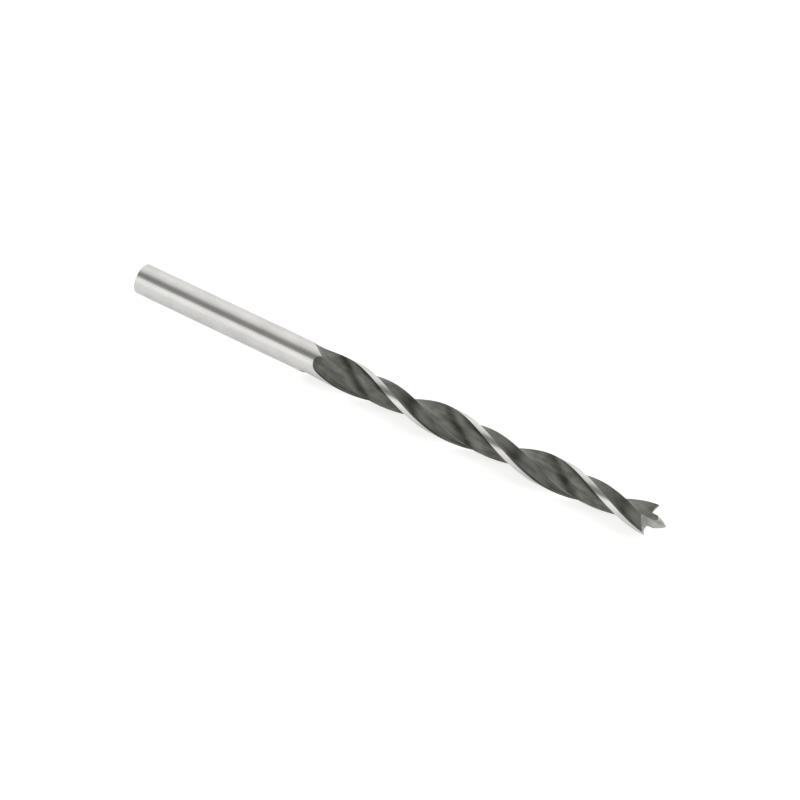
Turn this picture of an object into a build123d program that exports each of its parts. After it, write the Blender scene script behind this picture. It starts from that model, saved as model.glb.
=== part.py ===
from build123d import *
from math import cos, degrees, radians, sin, sqrt, tan
import os

# A brad point drill bit for wood, ground from one round bar of tool steel.
# It lies on its side along X with the centre point at +X, as it rests on a bench.
# While it is being made its axis is Z, with the shank end at Z = 0.

# Bar: from the shank the body widens a hair towards the point, so that it runs free in its own hole
cutting_diameter = 4.0
shank_diameter = 3.95
overall_length = 75.0
shank_length = 24.0
end_chamfer = 0.12

# Flutes: two right-hand helical grooves, round across from the leading edge over the web to the heel
helix_lead = 29.4
flute_start = 24.5
flute_wheel_radius = 15.5
web_thickness = 1.4
flute_bottom_angle = 126.0

# Reliefs: behind each bright land a small step with a filleted foot, then a flat facet to the heel
relief_start = 26.4
relief_wheel_radius = 3.5
land_angle = 21.0
facet_angle = 52.0
step_fillet = 0.3
heel_depth = 0.36
heel_angle = 78.0

# Point: two outlining spurs, level lips and a tall centre point
centre_point_height = 2.3
centre_root_radius = 1.15
centre_point_radius = 0.74
centre_point_taper = 1.2
centre_point_bulge = 0.06
centre_point_flat = 0.05
centre_base_half_width = 0.63
centre_wall_angle = 8.0
spur_height = 0.34
spur_inner_run = 0.85
spur_hollow = 0.05
spur_grinding = 0.1
lip_relief_angle = 18.0
lip_relief_turn = 25.0

# How far round the spurs stand as the bit lies, and room past the steel for the cutting shapes
spur_clocking = 27.7
overcut = 0.6
sections_per_turn = 24

bar_radius = cutting_diameter / 2
shank_radius = shank_diameter / 2
heel_radius = bar_radius - heel_depth
facet_distance = heel_radius * cos(radians(heel_angle - facet_angle))
valley_height = overall_length - centre_point_height
spur_top = valley_height + spur_height
outside = bar_radius + overcut


def polar(radius, angle_behind):
    """A point of the cross-section, by its angle behind the leading edge of the first land."""
    turn = radians(-angle_behind)
    return Vector(radius * cos(turn), radius * sin(turn), 0)


def flute_outline():
    """The flute ahead of the second land, open outwards."""
    leading_edge = polar(bar_radius, 180)
    bottom = polar(web_thickness / 2, flute_bottom_angle)
    heel = polar(heel_radius, heel_angle)
    to_heel = Edge.make_three_point_arc(leading_edge, bottom, heel)
    centre = to_heel.arc_center
    wall_top = centre + (heel - centre).rotate(Axis.Z, -degrees(outside / to_heel.radius))
    rake_top = leading_edge - to_heel.tangent_at(0) * 2 * overcut
    outward = polar(outside, flute_bottom_angle)
    return Wire([
        Edge.make_line(rake_top, leading_edge),
        Edge.make_three_point_arc(leading_edge, bottom, wall_top),
        Edge.make_line(wall_top, wall_top + outward),
        Edge.make_line(wall_top + outward, rake_top + outward),
        Edge.make_line(rake_top + outward, rake_top),
    ])


def relief_outline():
    """The step and the facet behind the first land, open outwards."""
    inward = polar(-1, land_angle)
    along_facet = polar(1, facet_angle + 90)
    corner = polar(facet_distance / cos(radians(facet_angle - land_angle)), land_angle)
    half_turn = radians(90 - facet_angle + land_angle) / 2
    fillet_run = step_fillet * tan(half_turn)
    fillet_start = corner - inward * fillet_run
    fillet_middle = corner + (along_facet - inward).normalized() * step_fillet * (1 / cos(half_turn) - 1)
    fillet_end = corner + along_facet * fillet_run
    step_top = polar(outside, land_angle)
    past_heel = polar(heel_radius, heel_angle) + along_facet * overcut
    outward = polar(outside, facet_angle)
    return Wire([
        Edge.make_line(step_top, fillet_start),
        Edge.make_three_point_arc(fillet_start, fillet_middle, fillet_end),
        Edge.make_line(fillet_end, past_heel),
        Edge.make_line(past_heel, past_heel + outward),
        Edge.make_line(past_heel + outward, step_top + outward),
        Edge.make_line(step_top + outward, step_top),
    ])


def helical_groove(outline, wheel_radius, depth, groove_start, lift_angle):
    """One right-hand groove, from where the wheel rises out of the steel to past the point."""
    runout = sqrt(wheel_radius**2 - (wheel_radius - depth) ** 2)
    clear_runout = sqrt(wheel_radius**2 - (wheel_radius - depth - overcut) ** 2)
    full_depth_height = groove_start + runout
    lowest = full_depth_height - clear_runout
    highest = overall_length + overcut
    count = round((highest - lowest) / helix_lead * sections_per_turn)
    outward = polar(1, lift_angle)
    profiles = []
    for index in range(count + 1):
        height = lowest + (highest - lowest) * index / count
        short = max(full_depth_height - height, 0)
        lift = wheel_radius - sqrt(wheel_radius**2 - short**2)
        turn = 360 * (height - valley_height) / helix_lead
        lifted = outline.moved(Location(outward * lift))
        profiles.append(lifted.moved(Location((0, 0, height), (0, 0, turn))))
    return Solid.make_loft(profiles)


def both(shape):
    """The shape and its copy on the other side of the axis."""
    return [shape, shape.rotate(Axis.Z, 180)]


def blank():
    """The bar before it is fluted: chamfered shank, body, and the centre point's turned end."""
    shoulder = spur_top + spur_grinding
    middle_radius = (centre_point_radius + centre_point_flat) / 2 + centre_point_bulge
    point_root = (centre_point_radius, 0, overall_length - centre_point_taper)
    point_middle = (middle_radius, 0, overall_length - centre_point_taper / 2)
    tip_edge = (centre_point_flat, 0, overall_length)
    turned = Solid.revolve(Face(Wire([
        Edge.make_line((0, 0, 0), (shank_radius - end_chamfer, 0, 0)),
        Edge.make_line((shank_radius - end_chamfer, 0, 0), (shank_radius, 0, end_chamfer)),
        Edge.make_line((shank_radius, 0, end_chamfer), (shank_radius, 0, shank_length)),
        Edge.make_line((shank_radius, 0, shank_length), (bar_radius, 0, shoulder)),
        Edge.make_line((bar_radius, 0, shoulder), (centre_root_radius, 0, shoulder)),
        Edge.make_line((centre_root_radius, 0, shoulder), point_root),
        Edge.make_three_point_arc(point_root, point_middle, tip_edge),
        Edge.make_line(tip_edge, (0, 0, overall_length)),
        Edge.make_line((0, 0, overall_length), (0, 0, 0)),
    ])), 360, Axis.Z)
    return turned.rotate(Axis.Z, -flute_bottom_angle)


def lip_groove():
    """What is ground away beside the centre point: the first lip, its spur and their relief."""
    above = overall_length + overcut
    wall_top = centre_base_half_width - (above - valley_height) * tan(radians(centre_wall_angle))
    spur_foot = (bar_radius - spur_inner_run, 0, valley_height)
    spur_middle = (bar_radius - spur_inner_run / 2, 0, valley_height + spur_height / 2 - spur_hollow)
    spur_tip = (bar_radius, 0, spur_top)
    past_spur = (outside, 0, spur_top + overcut * spur_height / spur_inner_run)
    profile = Wire([
        Edge.make_line((wall_top, 0, above), (centre_base_half_width, 0, valley_height)),
        Edge.make_line((centre_base_half_width, 0, valley_height), spur_foot),
        Edge.make_three_point_arc(spur_foot, spur_middle, spur_tip),
        Edge.make_line(spur_tip, past_spur),
        Edge.make_line(past_spur, (outside, 0, above)),
        Edge.make_line((outside, 0, above), (wall_top, 0, above)),
    ])
    turn = radians(lip_relief_turn)
    ahead = Vector(sin(turn), cos(turn), tan(radians(lip_relief_angle))) * outside
    return Solid.extrude(Face(profile).moved(Location(ahead)), ahead * -2)


def drill_bit():
    flute_depth = bar_radius - web_thickness / 2
    flute = helical_groove(flute_outline(), flute_wheel_radius, flute_depth, flute_start, flute_bottom_angle)
    relief_depth = bar_radius - facet_distance
    relief = helical_groove(relief_outline(), relief_wheel_radius, relief_depth, relief_start, facet_angle)
    bit = blank()
    for groove in both(lip_groove()) + both(flute) + both(relief):
        bit = bit - groove
    return bit


def laid_down(shape):
    """The finished bit on its side, resting on the bench, with its middle over the origin."""
    turn = radians(spur_clocking)
    first_spur = (0, cos(turn), sin(turn))
    side = Plane(origin=(-overall_length / 2, 0, bar_radius), x_dir=first_spur, z_dir=(1, 0, 0))
    return shape.moved(side.location)


os.makedirs("parts", exist_ok=True)
bit = laid_down(drill_bit())
print("valid", bit.is_valid, "volume", round(bit.volume, 2), "faces", len(bit.faces()))
export_step(bit, "parts/drill_bit.step")
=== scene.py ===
# %% [markdown]
# # A brad point drill bit
# A small wood drill bit lies on a pale table. It is one piece of tool steel: a plain round shank, two
# right-hand flutes with bright ground lands beside them, and a point with two spurs and a tall centre.
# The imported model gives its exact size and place. Here the same shapes are cut again with finer faces,
# because polished steel shows every flat in its reflections, and each ground surface gets its own finish.

# %% Load the frame
import bpy
from math import atan2, cos, degrees, pi, radians, sin, sqrt, tan
from mathutils import Matrix, Vector


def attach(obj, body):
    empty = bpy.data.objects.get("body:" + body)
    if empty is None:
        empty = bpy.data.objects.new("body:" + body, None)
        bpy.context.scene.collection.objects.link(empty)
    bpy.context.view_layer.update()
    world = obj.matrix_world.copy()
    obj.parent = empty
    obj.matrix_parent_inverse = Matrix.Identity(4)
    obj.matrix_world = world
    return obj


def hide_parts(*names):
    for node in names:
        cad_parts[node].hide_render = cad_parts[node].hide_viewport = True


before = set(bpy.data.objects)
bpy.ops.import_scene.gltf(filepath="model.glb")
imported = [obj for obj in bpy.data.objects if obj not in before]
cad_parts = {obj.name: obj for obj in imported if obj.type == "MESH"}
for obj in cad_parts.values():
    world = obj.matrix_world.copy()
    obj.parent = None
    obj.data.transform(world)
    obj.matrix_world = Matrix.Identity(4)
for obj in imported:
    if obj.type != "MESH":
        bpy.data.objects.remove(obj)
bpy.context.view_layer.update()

# %% [markdown]
# ## Sizes
# These are the sizes of the real bit, in millimetres, as a drawing would give them. The shapes are made
# standing on the shank end, with the axis along Z, because that is how such a bit is turned and ground.
# Angles round the section are counted backwards from the leading edge of the first land.

# %% Write down the sizes
bar_radius = 2.0
shank_radius = 1.975
overall_length = 75.0
shank_length = 24.0
end_chamfer = 0.12

helix_lead = 29.4
flute_start = 24.5
flute_wheel_radius = 15.5
web_thickness = 1.4
flute_bottom_angle = 126.0

relief_start = 26.4
relief_wheel_radius = 3.5
land_angle = 21.0
facet_angle = 52.0
step_fillet = 0.3
heel_depth = 0.36
heel_angle = 78.0

centre_point_height = 2.3
centre_root_radius = 1.15
centre_point_radius = 0.74
centre_point_taper = 1.2
centre_point_bulge = 0.06
centre_point_flat = 0.05
centre_base_half_width = 0.63
centre_wall_angle = 8.0
spur_height = 0.34
spur_inner_run = 0.85
spur_hollow = 0.05
spur_grinding = 0.1
lip_relief_angle = 18.0
lip_relief_turn = 25.0
spur_clocking = 27.7

room = 0.6
valley_height = overall_length - centre_point_height
spur_top = valley_height + spur_height
outside = bar_radius + room
heel_radius = bar_radius - heel_depth
facet_distance = heel_radius * cos(radians(heel_angle - facet_angle))
turn_per_mm = 2 * pi / helix_lead
print("one turn takes", helix_lead, "mm, and the centre point is", centre_point_height, "mm high")


# %% [markdown]
# ## Finishes
# One steel shows three finishes here. The shank and the lands are ground round and polished, so they are
# bright. The flutes are left as the wheel and the hardening bath made them: dark, with streaks along the
# helix. The point is sharpened last and stays light. Each finish is worked out from Object coordinates,
# in millimetres from the axis, so it needs no image and sits still on the steel from every side.

# %% Helpers for the finishes
def new_finish(name, roughness):
    finish = bpy.data.materials.new(name)
    finish.use_nodes = True
    tree = finish.node_tree
    shader = tree.nodes["Principled BSDF"]
    shader.inputs["Metallic"].default_value = 1.0
    shader.inputs["Roughness"].default_value = roughness
    return finish, tree, shader


def add(tree, kind, **settings):
    node = tree.nodes.new(kind)
    for name, value in settings.items():
        setattr(node, name, value)
    return node


def from_the_axis(tree):
    """Places on the bit in millimetres, with Y and Z measured from its axis."""
    place = add(tree, "ShaderNodeTexCoord")
    scaled = add(tree, "ShaderNodeMapping")
    scaled.inputs["Scale"].default_value = (1000, 1000, 1000)
    scaled.inputs["Location"].default_value = (0, 0, -bar_radius)
    tree.links.new(place.outputs["Object"], scaled.inputs["Vector"])
    return scaled.outputs["Vector"]


def unwound(tree, places):
    """The same places with the helix turned out: flutes run straight along X, heels lie at Z = 0."""
    parts = add(tree, "ShaderNodeSeparateXYZ")
    angle = add(tree, "ShaderNodeMath", operation="MULTIPLY_ADD")
    angle.inputs[1].default_value = -turn_per_mm
    angle.inputs[2].default_value = (radians(heel_angle - spur_clocking)
                                     + turn_per_mm * (valley_height - overall_length / 2))
    turned = add(tree, "ShaderNodeVectorRotate", rotation_type="X_AXIS")
    tree.links.new(places, parts.inputs["Vector"])
    tree.links.new(parts.outputs["X"], angle.inputs[0])
    tree.links.new(places, turned.inputs["Vector"])
    tree.links.new(angle.outputs["Value"], turned.inputs["Angle"])
    return turned.outputs["Vector"]


def distance_from_axis(tree, places):
    flat = add(tree, "ShaderNodeVectorMath", operation="MULTIPLY")
    flat.inputs[1].default_value = (0, 1, 1)
    length = add(tree, "ShaderNodeVectorMath", operation="LENGTH")
    tree.links.new(places, flat.inputs[0])
    tree.links.new(flat.outputs["Vector"], length.inputs[0])
    return length.outputs["Value"]


def streaks(tree, places, stretch, detail=3.0):
    """Noise squeezed or drawn out along each axis, from 0 to 1."""
    drawn = add(tree, "ShaderNodeVectorMath", operation="MULTIPLY")
    drawn.inputs[1].default_value = stretch
    noise = add(tree, "ShaderNodeTexNoise")
    noise.inputs["Scale"].default_value = 1.0
    noise.inputs["Detail"].default_value = detail
    tree.links.new(places, drawn.inputs[0])
    tree.links.new(drawn.outputs["Vector"], noise.inputs["Vector"])
    return noise.outputs["Fac"]


def between(tree, value, low, high, out_low, out_high):
    fit = add(tree, "ShaderNodeMapRange", interpolation_type="SMOOTHSTEP")
    for name, number in (("From Min", low), ("From Max", high), ("To Min", out_low), ("To Max", out_high)):
        fit.inputs[name].default_value = number
    tree.links.new(value, fit.inputs["Value"])
    return fit.outputs["Result"]


def two_tones(tree, share, first, second):
    mix = add(tree, "ShaderNodeMix", data_type="RGBA")
    for socket, colour in (("A", first), ("B", second)):
        end = [s for s in mix.inputs if s.name == socket and s.type == "RGBA"][0]
        if isinstance(colour, tuple):
            end.default_value = (*colour, 1)
        else:
            tree.links.new(colour, end)
    tree.links.new(share, mix.inputs["Factor"])
    return [s for s in mix.outputs if s.type == "RGBA"][0]


def times(tree, first, second):
    product = add(tree, "ShaderNodeMath", operation="MULTIPLY")
    tree.links.new(first, product.inputs[0])
    tree.links.new(second, product.inputs[1])
    return product.outputs["Value"]


def scratch(tree, shader, heights, depth_mm, strength):
    bump = add(tree, "ShaderNodeBump")
    bump.inputs["Distance"].default_value = depth_mm / 1000
    bump.inputs["Strength"].default_value = strength
    tree.links.new(heights, bump.inputs["Height"])
    tree.links.new(bump.outputs["Normal"], shader.inputs["Normal"])


print("finish helpers are ready")

# %% [markdown]
# ### Ground bright steel
# The shank and the lands were ground while the bar turned, so the finest scratches run round the axis.
# Noise that is squeezed along X gives these rings, and a wide, weak noise gives the faint cloudiness
# that handling leaves on a polished shank.

# %% Ground bright steel
def ground_bright():
    finish, tree, shader = new_finish("ground_bright_steel", 0.25)
    places = from_the_axis(tree)
    cloud = streaks(tree, places, (0.35, 0.5, 0.5))
    cloudy = between(tree, cloud, 0.35, 0.65, 0, 1)
    tone = two_tones(tree, cloudy, (0.605, 0.599, 0.590), (0.665, 0.659, 0.650))
    tree.links.new(tone, shader.inputs["Base Color"])
    rings = streaks(tree, places, (22.0, 1.0, 1.0), detail=4.0)
    tree.links.new(between(tree, rings, 0.3, 0.7, 0.24, 0.29), shader.inputs["Roughness"])
    scratch(tree, shader, rings, 0.002, 0.1)
    return finish


bright = ground_bright()
print("made", bright.name)

# %% [markdown]
# ### Dark flute steel
# The flutes were cut first and never polished. They are dark, a little olive, and streaked along the
# helix. Along the ridge at the heel, where two ground faces meet, a painted highlight stands in for the
# light that the sharp edge catches; it is patchy and stronger towards the point. With the helix turned
# out, that ridge is a straight line, so the distance from the axis and the distance from that line are enough
# to find it.

# %% Dark flute steel
def painted_ridge_highlight(tree, straight_places):
    """Painted highlight along the crest of the heel: up to 1 there, and 0 elsewhere."""
    radius = distance_from_axis(tree, straight_places)
    high = between(tree, radius, heel_radius - 0.06, heel_radius - 0.03, 0, 1)
    parts = add(tree, "ShaderNodeSeparateXYZ")
    aside = add(tree, "ShaderNodeMath", operation="ABSOLUTE")
    tree.links.new(straight_places, parts.inputs["Vector"])
    tree.links.new(parts.outputs["Z"], aside.inputs[0])
    close = between(tree, aside.outputs["Value"], 0.015, 0.05, 1, 0)
    towards_point = between(tree, parts.outputs["X"], -5, 20, 0.1, 1)
    uneven = between(tree, streaks(tree, straight_places, (0.35, 1.0, 1.0)), 0.38, 0.6, 0.15, 1)
    return times(tree, times(tree, high, close), times(tree, towards_point, uneven))


def flute_dark(name, dark, light, rough_low, rough_high):
    finish, tree, shader = new_finish(name, rough_low)
    places = from_the_axis(tree)
    straight_places = unwound(tree, places)
    along = streaks(tree, straight_places, (0.12, 2.6, 2.6))
    patches = streaks(tree, straight_places, (0.55, 1.1, 1.1), detail=5.0)
    shared = add(tree, "ShaderNodeMath", operation="MULTIPLY_ADD")
    shared.inputs[1].default_value = 0.4
    tree.links.new(along, shared.inputs[0])
    tree.links.new(patches, shared.inputs[2])
    film = two_tones(tree, between(tree, shared.outputs["Value"], 0.5, 0.9, 0, 1), dark, light)
    ridge_highlight_share = painted_ridge_highlight(tree, straight_places)
    # painted highlight: light grey on the heel's crest stands in for the light that the sharp ridge catches
    tone = two_tones(tree, ridge_highlight_share, film, (0.40, 0.398, 0.38))
    tree.links.new(tone, shader.inputs["Base Color"])
    tree.links.new(between(tree, patches, 0.3, 0.7, rough_low, rough_high), shader.inputs["Roughness"])
    fine = streaks(tree, straight_places, (0.8, 14.0, 14.0), detail=4.0)
    scratch(tree, shader, fine, 0.008, 0.10)
    return finish


in_flute = flute_dark("dark_flute_steel", (0.094, 0.094, 0.083), (0.180, 0.180, 0.163), 0.28, 0.40)
in_relief = flute_dark("dark_relief_steel", (0.084, 0.084, 0.074), (0.148, 0.148, 0.134), 0.32, 0.45)
print("made", in_flute.name, "and", in_relief.name)

# %% [markdown]
# ### Freshly ground point
# The point is sharpened last, by a finer wheel, so its faces are lighter than the flutes. The wheel
# leaves short lines across the lips and the centre point, which show only close up.

# %% Ground point
def ground_point():
    finish, tree, shader = new_finish("ground_point_steel", 0.45)
    places = from_the_axis(tree)
    cloud = streaks(tree, places, (1.2, 1.2, 1.2))
    tone = two_tones(tree, between(tree, cloud, 0.35, 0.65, 0, 1), (0.42, 0.42, 0.402), (0.52, 0.52, 0.502))
    tree.links.new(tone, shader.inputs["Base Color"])
    lines = streaks(tree, places, (16.0, 3.0, 3.0), detail=4.0)
    tree.links.new(between(tree, lines, 0.3, 0.7, 0.42, 0.54), shader.inputs["Roughness"])
    scratch(tree, shader, lines, 0.006, 0.2)
    return finish


on_point = ground_point()
print("made", on_point.name)


# %% [markdown]
# ## The turned blank
# The real bit starts as a round bar, turned on a lathe. A modeller could add a cylinder and scale its
# ends, or spin a profile. Here a disc is extruded upwards ring by ring, and each ring is scaled to its
# radius, so the faces stay small and even, which gives clean cuts later on. The turned end of the centre
# point gets the point's finish, and the rest of the bar is bright.

# %% Turn the blank
def pick_only(thing):
    bpy.ops.object.select_all(action="DESELECT")
    thing.select_set(True)
    bpy.context.view_layer.objects.active = thing


def turned_blank(sides=160, ring_gap=0.75, taper_steps=10):
    shoulder = spur_top + spur_grinding
    stations = [(0.0, shank_radius - end_chamfer), (end_chamfer, shank_radius)]
    rings = round(shank_length / ring_gap)
    for k in range(1, rings + 1):
        stations.append((end_chamfer + (shank_length - end_chamfer) * k / rings, shank_radius))
    rings = round((shoulder - shank_length) / ring_gap)
    for k in range(1, rings + 1):
        share = k / rings
        height = shank_length + (shoulder - shank_length) * share
        stations.append((height, shank_radius + (bar_radius - shank_radius) * share))
    stations.append((shoulder, centre_root_radius))
    for k in range(taper_steps + 1):
        share = k / taper_steps
        chord = centre_point_radius + (centre_point_flat - centre_point_radius) * share
        bulge = 4 * centre_point_bulge * share * (1 - share)
        stations.append((overall_length - centre_point_taper * (1 - share), chord + bulge))
    bpy.ops.object.select_all(action="DESELECT")
    end_radius = stations[0][1]
    bpy.ops.mesh.primitive_circle_add(vertices=sides, radius=end_radius, fill_type="NGON", location=(0, 0, 0))
    blank = bpy.context.object
    bpy.ops.object.mode_set(mode="EDIT")
    bpy.ops.mesh.select_all(action="SELECT")
    for (low, old_radius), (high, radius) in zip(stations, stations[1:]):
        bpy.ops.mesh.extrude_region_move(TRANSFORM_OT_translate={"value": (0, 0, high - low)})
        widening = radius / old_radius
        bpy.ops.transform.resize(value=(widening, widening, 1), center_override=(0, 0, high))
    bpy.ops.mesh.select_all(action="SELECT")
    bpy.ops.mesh.normals_make_consistent(inside=False)
    bpy.ops.object.mode_set(mode="OBJECT")
    return blank


bit = turned_blank()
bit.name = "fluted_steel_bit"
bit.data.materials.append(bright)
bit.data.materials.append(on_point)
for face in bit.data.polygons:
    face.material_index = 1 if face.center.z > spur_top else 0
print("the blank has", len(bit.data.polygons), "faces")


# %% [markdown]
# ## Outlines of the grinding wheels
# Each groove is the mark of a shaped wheel, so each is drawn first as the outline that the wheel leaves
# in the section. A flute is one wide, shallow arc: it starts at the leading edge of a land, touches the
# thin web in the middle and rises to the heel. The outline is drawn as with a pen: one vertex is set down
# and extruded from corner to corner.

# %% Draw an outline
def polar(radius, angle_behind):
    turn = radians(-angle_behind)
    return Vector((radius * cos(turn), radius * sin(turn), 0))


def arc_points(centre, radius, start, end, steps):
    angles = [start + (end - start) * k / steps for k in range(steps + 1)]
    return [centre + Vector((cos(angle), sin(angle), 0)) * radius for angle in angles]


def straight(start, end, steps):
    return [start + (end - start) * k / steps for k in range(steps + 1)]


def draw_outline(name, points):
    bpy.ops.object.select_all(action="DESELECT")
    bpy.ops.mesh.primitive_plane_add(size=0.1, location=points[0])
    drawn = bpy.context.object
    drawn.name = name
    bpy.ops.object.transform_apply(location=True, rotation=False, scale=False)
    bpy.ops.object.mode_set(mode="EDIT")
    bpy.ops.mesh.select_all(action="SELECT")
    bpy.ops.mesh.merge(type="CENTER")
    for here, there in zip(points, points[1:]):
        bpy.ops.mesh.extrude_region_move(TRANSFORM_OT_translate={"value": there - here})
    bpy.ops.mesh.select_all(action="SELECT")
    bpy.ops.mesh.edge_face_add()
    bpy.ops.object.mode_set(mode="OBJECT")
    return drawn


def circle_through(first, second, third):
    """The centre of the circle through three points of the section."""
    a, b = second - first, third - first
    twice = 2 * (a.x * b.y - a.y * b.x)
    x = (b.y * a.length_squared - a.y * b.length_squared) / twice
    y = (a.x * b.length_squared - b.x * a.length_squared) / twice
    return first + Vector((x, y, 0))


def flute_points(rake_steps=8, arc_steps=72):
    leading_edge = polar(bar_radius, 180)
    heel = polar(heel_radius, heel_angle)
    centre = circle_through(leading_edge, polar(web_thickness / 2, flute_bottom_angle), heel)
    radius = (heel - centre).length
    start = atan2(*(leading_edge - centre).yx)
    end = atan2(*(heel - centre).yx) - outside / radius
    along_rake = Vector((-sin(start), cos(start), 0))
    rake_top = leading_edge + along_rake * 2 * room
    rake = straight(rake_top, leading_edge, rake_steps)
    return rake[:-1] + arc_points(centre, radius, start, end, arc_steps)


print("the flute's outline has", len(flute_points()), "corners")

# %% [markdown]
# ## The relief's outline
# Behind each land the steel is ground lower, so that only the narrow land rubs in the hole. A small step
# with a filleted foot ends the land, and a flat facet runs from it to the ridge at the heel. The fillet
# is the rounded edge of the wheel, drawn as an arc that touches both straight runs.

# %% Draw the relief
def relief_points(side_steps=6, fillet_steps=8, facet_steps=24):
    corner = polar(facet_distance / cos(radians(facet_angle - land_angle)), land_angle)
    inward = polar(-1, land_angle)
    along_facet = polar(1, facet_angle + 90)
    half_turn = radians(90 - facet_angle + land_angle) / 2
    run = step_fillet * tan(half_turn)
    centre = corner + (along_facet - inward).normalized() * step_fillet / cos(half_turn)
    start = atan2(*(corner - inward * run - centre).yx)
    fillet = arc_points(centre, step_fillet, start, start + 2 * half_turn, fillet_steps)
    step_top = polar(outside, land_angle)
    past_heel = polar(heel_radius, heel_angle) + along_facet * room
    outward = polar(outside, facet_angle)
    return (straight(step_top, fillet[0], side_steps)[:-1] + fillet
            + straight(fillet[-1], past_heel, facet_steps)[1:]
            + straight(past_heel, past_heel + outward, side_steps)[1:] + [step_top + outward])


print("the relief's outline has", len(relief_points()), "corners")

# %% [markdown]
# ## Helical grooves
# The wheel cuts along a helix: for each step up the bar, the outline moves up and turns a little. Near
# the shank the wheel lifts out of the steel, which leaves the rounded run-out. Extruding the outline,
# then moving and turning the new face, does the same thing, so the groove is one long solid to cut away.

# %% Sweep the grooves
def helical_cutter(name, points, wheel_radius, depth, start, lift_angle, step=0.25):
    full_depth_height = start + sqrt(wheel_radius**2 - (wheel_radius - depth) ** 2)
    lowest = full_depth_height - sqrt(wheel_radius**2 - (wheel_radius - depth - room) ** 2)
    highest = overall_length + room
    count = round((highest - lowest) / step)
    heights = [lowest + (highest - lowest) * k / count for k in range(count + 1)]

    def lift(height):
        short = max(full_depth_height - height, 0)
        return wheel_radius - sqrt(wheel_radius**2 - short**2)

    cutter = draw_outline(name, points)
    bpy.ops.object.mode_set(mode="EDIT")
    bpy.ops.mesh.select_all(action="SELECT")
    first_turn = (lowest - valley_height) * turn_per_mm
    bpy.ops.transform.translate(value=polar(1, lift_angle) * lift(lowest) + Vector((0, 0, lowest)))
    bpy.ops.transform.rotate(value=-first_turn, orient_axis="Z", center_override=(0, 0, 0))
    for low, high in zip(heights, heights[1:]):
        twist = (high - low) * turn_per_mm
        outward = polar(1, lift_angle - degrees((low - valley_height) * turn_per_mm))
        move = outward * (lift(high) - lift(low)) + Vector((0, 0, high - low))
        bpy.ops.mesh.extrude_region_move(TRANSFORM_OT_translate={"value": move})
        bpy.ops.transform.rotate(value=-twist, orient_axis="Z", center_override=(0, 0, 0))
    bpy.ops.mesh.select_all(action="SELECT")
    bpy.ops.mesh.normals_make_consistent(inside=False)
    bpy.ops.object.mode_set(mode="OBJECT")
    return cutter


def other_side(cutter):
    pick_only(cutter)
    bpy.ops.object.duplicate(linked=False)
    copy = bpy.context.object
    bpy.ops.object.mode_set(mode="EDIT")
    bpy.ops.mesh.select_all(action="SELECT")
    bpy.ops.transform.rotate(value=pi, orient_axis="Z", center_override=(0, 0, 0))
    bpy.ops.object.mode_set(mode="OBJECT")
    return copy


flute_depth = bar_radius - web_thickness / 2
relief_depth = bar_radius - facet_distance
flute = helical_cutter("flute_wheel", flute_points(), flute_wheel_radius, flute_depth,
                       flute_start, flute_bottom_angle)
relief = helical_cutter("relief_wheel", relief_points(), relief_wheel_radius, relief_depth,
                        relief_start, facet_angle)
flute.data.materials.append(in_flute)
relief.data.materials.append(in_relief)
print("flute cutter", len(flute.data.polygons), "faces, relief cutter", len(relief.data.polygons), "faces")

# %% [markdown]
# ## Lips, spurs and centre point
# A last wheel passes beside the centre point. It leaves the level lip, the hollow inner side of the
# spur, and one flat flank of the centre point, all falling away behind the cutting edge. Its outline is
# drawn in a plane through the axis and extruded once, along the slanted path of the wheel.

# %% Shape the lip wheel
def lip_cutter(hollow_steps=12):
    above = overall_length + room
    wall_top = centre_base_half_width - (above - valley_height) * tan(radians(centre_wall_angle))
    spur_foot = Vector((bar_radius - spur_inner_run, valley_height))
    spur_tip = Vector((bar_radius, spur_top))
    chord = (spur_tip - spur_foot).length
    rise = spur_hollow * spur_inner_run / chord
    bow = (chord**2 / 4 + rise**2) / (2 * rise)
    middle = (spur_foot + spur_tip) / 2
    square = Vector((-(spur_tip - spur_foot).y, (spur_tip - spur_foot).x)).normalized()
    centre = middle + square * (bow - rise)
    start = atan2(spur_foot.y - centre.y, spur_foot.x - centre.x)
    end = atan2(spur_tip.y - centre.y, spur_tip.x - centre.x)
    angles = [start + (end - start) * k / hollow_steps for k in range(hollow_steps + 1)]
    hollow = [centre + Vector((cos(angle), sin(angle))) * bow for angle in angles]
    profile = [Vector((wall_top, above)), Vector((centre_base_half_width, valley_height))] + hollow
    profile += [Vector((outside, spur_top + room * spur_height / spur_inner_run)), Vector((outside, above))]
    turn = radians(lip_relief_turn)
    ahead = Vector((sin(turn), cos(turn), tan(radians(lip_relief_angle)))) * outside
    cutter = draw_outline("lip_wheel", [Vector((p.x, 0, p.y)) + ahead for p in profile])
    bpy.ops.object.mode_set(mode="EDIT")
    bpy.ops.mesh.select_all(action="SELECT")
    bpy.ops.mesh.extrude_region_move(TRANSFORM_OT_translate={"value": ahead * -2})
    bpy.ops.mesh.select_all(action="SELECT")
    bpy.ops.mesh.normals_make_consistent(inside=False)
    bpy.ops.object.mode_set(mode="OBJECT")
    return cutter


lip = lip_cutter()
lip.data.materials.append(on_point)
print("lip cutter", len(lip.data.polygons), "faces")

# %% [markdown]
# ## Cutting
# Grinding takes steel away, and so does each cut here: one wheel's shape is subtracted, then the same
# shape from the other side of the axis, as the real blank is turned half round between two passes. Each
# cut face keeps the finish of the wheel that made it. The lips come first, while the end is still plain.

# %% Cut the bit
def cut_away(cutter):
    pick_only(bit)
    cut = bit.modifiers.new("cut", "BOOLEAN")
    cut.operation = "DIFFERENCE"
    cut.solver = "EXACT"
    cut.material_mode = "TRANSFER"
    cut.object = cutter
    bpy.ops.object.modifier_apply(modifier="cut")
    bpy.data.objects.remove(cutter)


for tool in (lip, flute, relief):
    twin = other_side(tool)
    cut_away(tool)
    cut_away(twin)
    print("after", len(bit.data.polygons), "faces")

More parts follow.
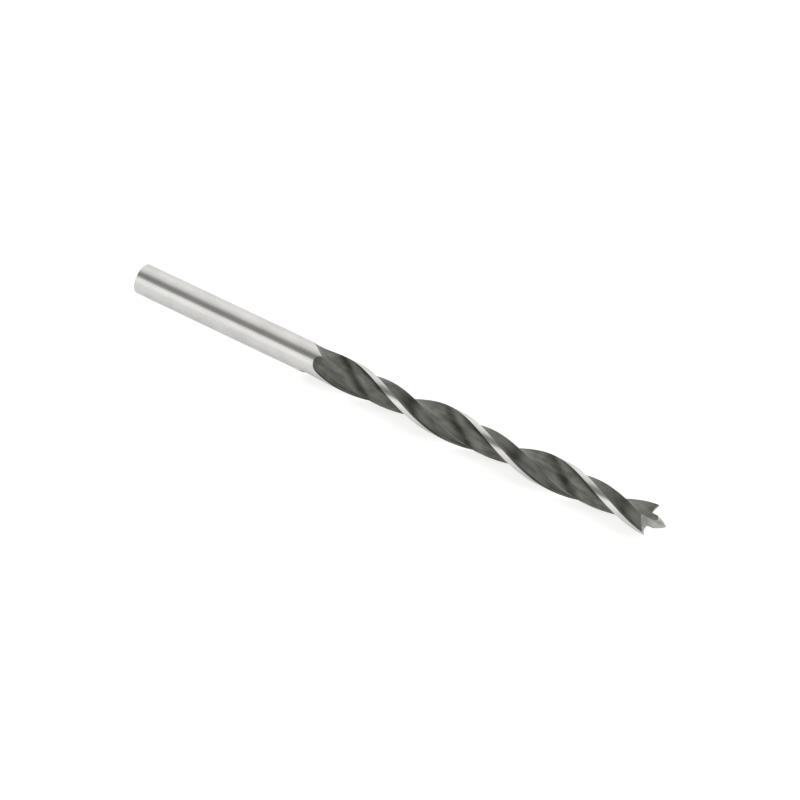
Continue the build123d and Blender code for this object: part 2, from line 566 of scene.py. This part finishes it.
# %% [markdown]
# ## Laying it down
# So far the bit stands on its shank end and one unit is a millimetre. Now it is made metres, turned onto
# its side with the point at +X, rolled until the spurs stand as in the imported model, and raised until its
# lands touch the table. The place goes into the mesh, and edges sharper than 28 degrees stay crisp.

# %% Lay it down
pick_only(bit)
clock = radians(spur_clocking)
crisp_edge = radians(28)
bit.matrix_world = Matrix((
    (0, 0, 0.001, -overall_length / 2000),
    (cos(clock) / 1000, -sin(clock) / 1000, 0, 0),
    (sin(clock) / 1000, cos(clock) / 1000, 0, bar_radius / 1000),
    (0, 0, 0, 1),
))
bpy.ops.object.transform_apply(location=True, rotation=True, scale=True)
bpy.ops.object.shade_smooth_by_angle(angle=crisp_edge)
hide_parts("drill_bit")
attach(bit, "root")
print("the bit has", len(bit.data.polygons), "faces and finishes", [m.name for m in bit.data.materials])

# %% [markdown]
# ## Light tent
# A small polished tool is photographed in a tent of white cloth, so that it mirrors only white. The
# camera looks in through a gap, and the gap shows as one soft dark stripe along the round shank. Here
# the world is that tent: pale all round the bit's axis, with a darker band where the gap is. The camera
# itself sees plain white behind the table.

# %% Light tent
def light_tent():
    world = bpy.data.worlds.new("light_tent")
    bpy.context.scene.world = world
    world.use_nodes = True
    tree = world.node_tree
    tree.nodes.clear()
    direction = add(tree, "ShaderNodeTexCoord")
    parts = add(tree, "ShaderNodeSeparateXYZ")
    front = add(tree, "ShaderNodeMath", operation="MULTIPLY")
    front.inputs[1].default_value = -1
    around = add(tree, "ShaderNodeMath", operation="ARCTAN2")
    tree.links.new(direction.outputs["Generated"], parts.inputs["Vector"])
    tree.links.new(parts.outputs["Y"], front.inputs[0])
    tree.links.new(parts.outputs["Z"], around.inputs[0])
    tree.links.new(front.outputs["Value"], around.inputs[1])
    share = add(tree, "ShaderNodeMapRange")
    share.inputs["From Min"].default_value = 0
    share.inputs["From Max"].default_value = pi
    tree.links.new(around.outputs["Value"], share.inputs["Value"])
    cloth = add(tree, "ShaderNodeValToRGB")
    tree.links.new(share.outputs["Result"], cloth.inputs["Fac"])
    levels = ((0, 1.0), (20, 1.25), (44, 1.25), (56, 0.27), (79, 0.27), (112, 1.0), (145, 1.15), (180, 1.0))
    band = cloth.color_ramp
    band.interpolation = "EASE"
    while len(band.elements) < len(levels):
        band.elements.new(0.5)
    for element, (degree, level) in zip(band.elements, levels):
        element.position = degree / 180
        element.color = (level, level, level * 0.985, 1)
    lit = add(tree, "ShaderNodeBackground")
    tree.links.new(cloth.outputs["Color"], lit.inputs["Color"])
    plain = add(tree, "ShaderNodeBackground")
    plain.inputs["Color"].default_value = (1, 1, 1, 1)
    ray = add(tree, "ShaderNodeLightPath")
    choice = add(tree, "ShaderNodeMixShader")
    out = add(tree, "ShaderNodeOutputWorld")
    tree.links.new(ray.outputs["Is Camera Ray"], choice.inputs["Fac"])
    tree.links.new(lit.outputs["Background"], choice.inputs[1])
    tree.links.new(plain.outputs["Background"], choice.inputs[2])
    tree.links.new(choice.outputs["Shader"], out.inputs["Surface"])
    return levels


print("the tent is", light_tent()[3][1], "bright in the gap and about 1 elsewhere")

# %% [markdown]
# ## White table
# The bit lies on white card. The card is matt, so it keeps a soft shadow. It also glows a little to the
# camera, which makes it as white as the paper of a catalogue page, and rather less in reflections, so
# that the underside of the shank stays a shade darker than its top. The glow lights nothing else.

# %% White table
def white_table(radius=3.0, glow_seen=0.62, glow_mirrored=0.36):
    bpy.ops.object.select_all(action="DESELECT")
    bpy.ops.mesh.primitive_circle_add(vertices=96, radius=radius, fill_type="NGON", location=(0, 0, 0))
    table = bpy.context.object
    table.name = "white_table"
    white = bpy.data.materials.new("white_table_top")
    white.use_nodes = True
    tree = white.node_tree
    tree.nodes.clear()
    matt = add(tree, "ShaderNodeBsdfDiffuse")
    matt.inputs["Color"].default_value = (0.8, 0.8, 0.8, 1)
    glow = add(tree, "ShaderNodeEmission")
    glow.inputs["Color"].default_value = (1, 1, 1, 1)
    ray = add(tree, "ShaderNodeLightPath")
    mirrored = add(tree, "ShaderNodeMath", operation="MAXIMUM")
    dimmed = add(tree, "ShaderNodeMath", operation="MULTIPLY")
    dimmed.inputs[1].default_value = glow_mirrored
    level = add(tree, "ShaderNodeMath", operation="MULTIPLY_ADD")
    level.inputs[1].default_value = glow_seen
    both = add(tree, "ShaderNodeAddShader")
    out = add(tree, "ShaderNodeOutputMaterial")
    tree.links.new(ray.outputs["Is Glossy Ray"], mirrored.inputs[0])
    tree.links.new(ray.outputs["Is Transmission Ray"], mirrored.inputs[1])
    tree.links.new(mirrored.outputs["Value"], dimmed.inputs[0])
    tree.links.new(ray.outputs["Is Camera Ray"], level.inputs[0])
    tree.links.new(dimmed.outputs["Value"], level.inputs[2])
    tree.links.new(level.outputs["Value"], glow.inputs["Strength"])
    tree.links.new(matt.outputs["BSDF"], both.inputs[0])
    tree.links.new(glow.outputs["Emission"], both.inputs[1])
    tree.links.new(both.outputs["Shader"], out.inputs["Surface"])
    table.data.materials.append(white)
    return table


print(white_table().name, "is in place")

# %% [markdown]
# ## Camera
# The camera looks down on the bit at about 48 degrees, from its right and a little ahead of the point,
# through a long lens, as for a catalogue picture.

# %% Camera
def catalogue_camera():
    data = bpy.data.cameras.new("catalogue_camera")
    data.lens = 158.11
    data.sensor_width = 36
    data.clip_start = 0.01
    camera = bpy.data.objects.new("catalogue_camera", data)
    bpy.context.scene.collection.objects.link(camera)
    right = Vector((0.84243145, 0.53880354, 0))
    down = Vector((0.40000914, -0.62542329, -0.66995402))
    forward = Vector((-0.3609736, 0.56439034, -0.74240259))
    place = Vector((0.1536246, -0.2392706, 0.3168442))
    camera.matrix_world = Matrix((
        (right.x, -down.x, -forward.x, place.x),
        (right.y, -down.y, -forward.y, place.y),
        (right.z, -down.z, -forward.z, place.z),
        (0, 0, 0, 1),
    ))
    bpy.context.scene.camera = camera
    return camera


print("the lens is", catalogue_camera().data.lens, "mm")
bpy.context.scene.view_settings.view_transform = "Standard"

# %% Finish
bpy.context.view_layer.update()
